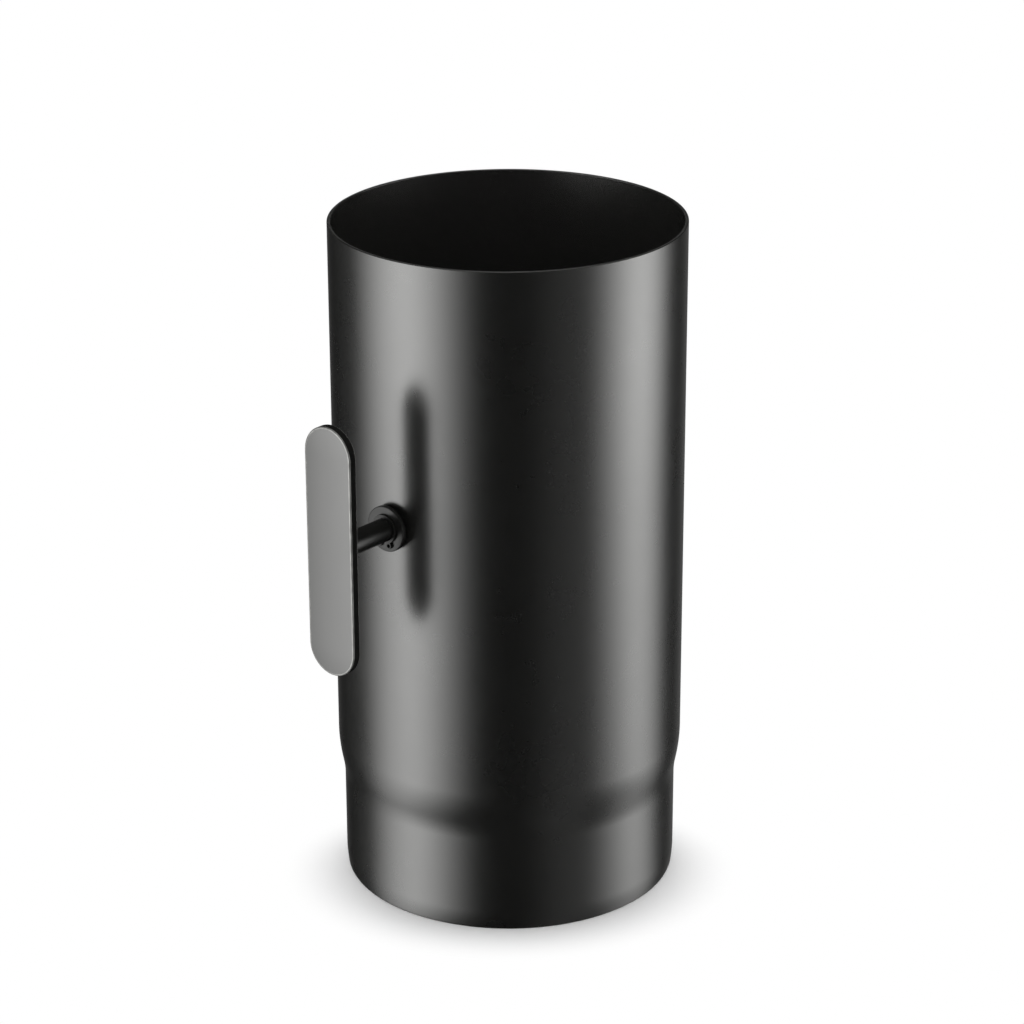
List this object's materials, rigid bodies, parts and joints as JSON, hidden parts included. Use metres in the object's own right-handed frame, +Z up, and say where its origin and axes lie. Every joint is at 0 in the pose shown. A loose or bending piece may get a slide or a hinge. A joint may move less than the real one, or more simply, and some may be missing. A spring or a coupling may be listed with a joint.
{
  "type": "stove pipe damper",
  "caption": "Straight round stove pipe with a socket at the top, a drawn-in spigot below and a disc flap inside, turned by a flat handle on a shaft.",
  "frame": {"origin": "centre of the spigot's end plane, on the pipe's axis", "axes": "+Z up the pipe towards the socket, -Y along the damper shaft towards the handle, +X across both"},
  "size_m": [0.153, 0.1976, 0.3],
  "materials": {
    "stove_paint": "satin",
    "shaft_steel": "satin",
    "flap_steel": "matte",
    "fastener_steel": "satin",
    "handle_paint": "satin"
  },
  "bodies": {
    "pipe": {"flue_pipe": "stove_paint"},
    "damper": {"damper_shaft": "shaft_steel", "handle_plate": "handle_paint", "front_spring_washer": "fastener_steel", "front_washer": "fastener_steel", "front_retaining_ring": "fastener_steel", "rear_spring_washer": "fastener_steel", "rear_washer": "fastener_steel", "rear_retaining_ring": "fastener_steel", "damper_flap": "flap_steel", "flap_screws": "fastener_steel", "flap_screw_washers": "fastener_steel"}
  },
  "joints": [
    {"name": "damper_turn", "type": "hinge", "parent": "pipe", "child": "damper", "pos_m": [0, 0, 0.183], "axis": [0, -1, 0], "continuous": true}
  ]
}
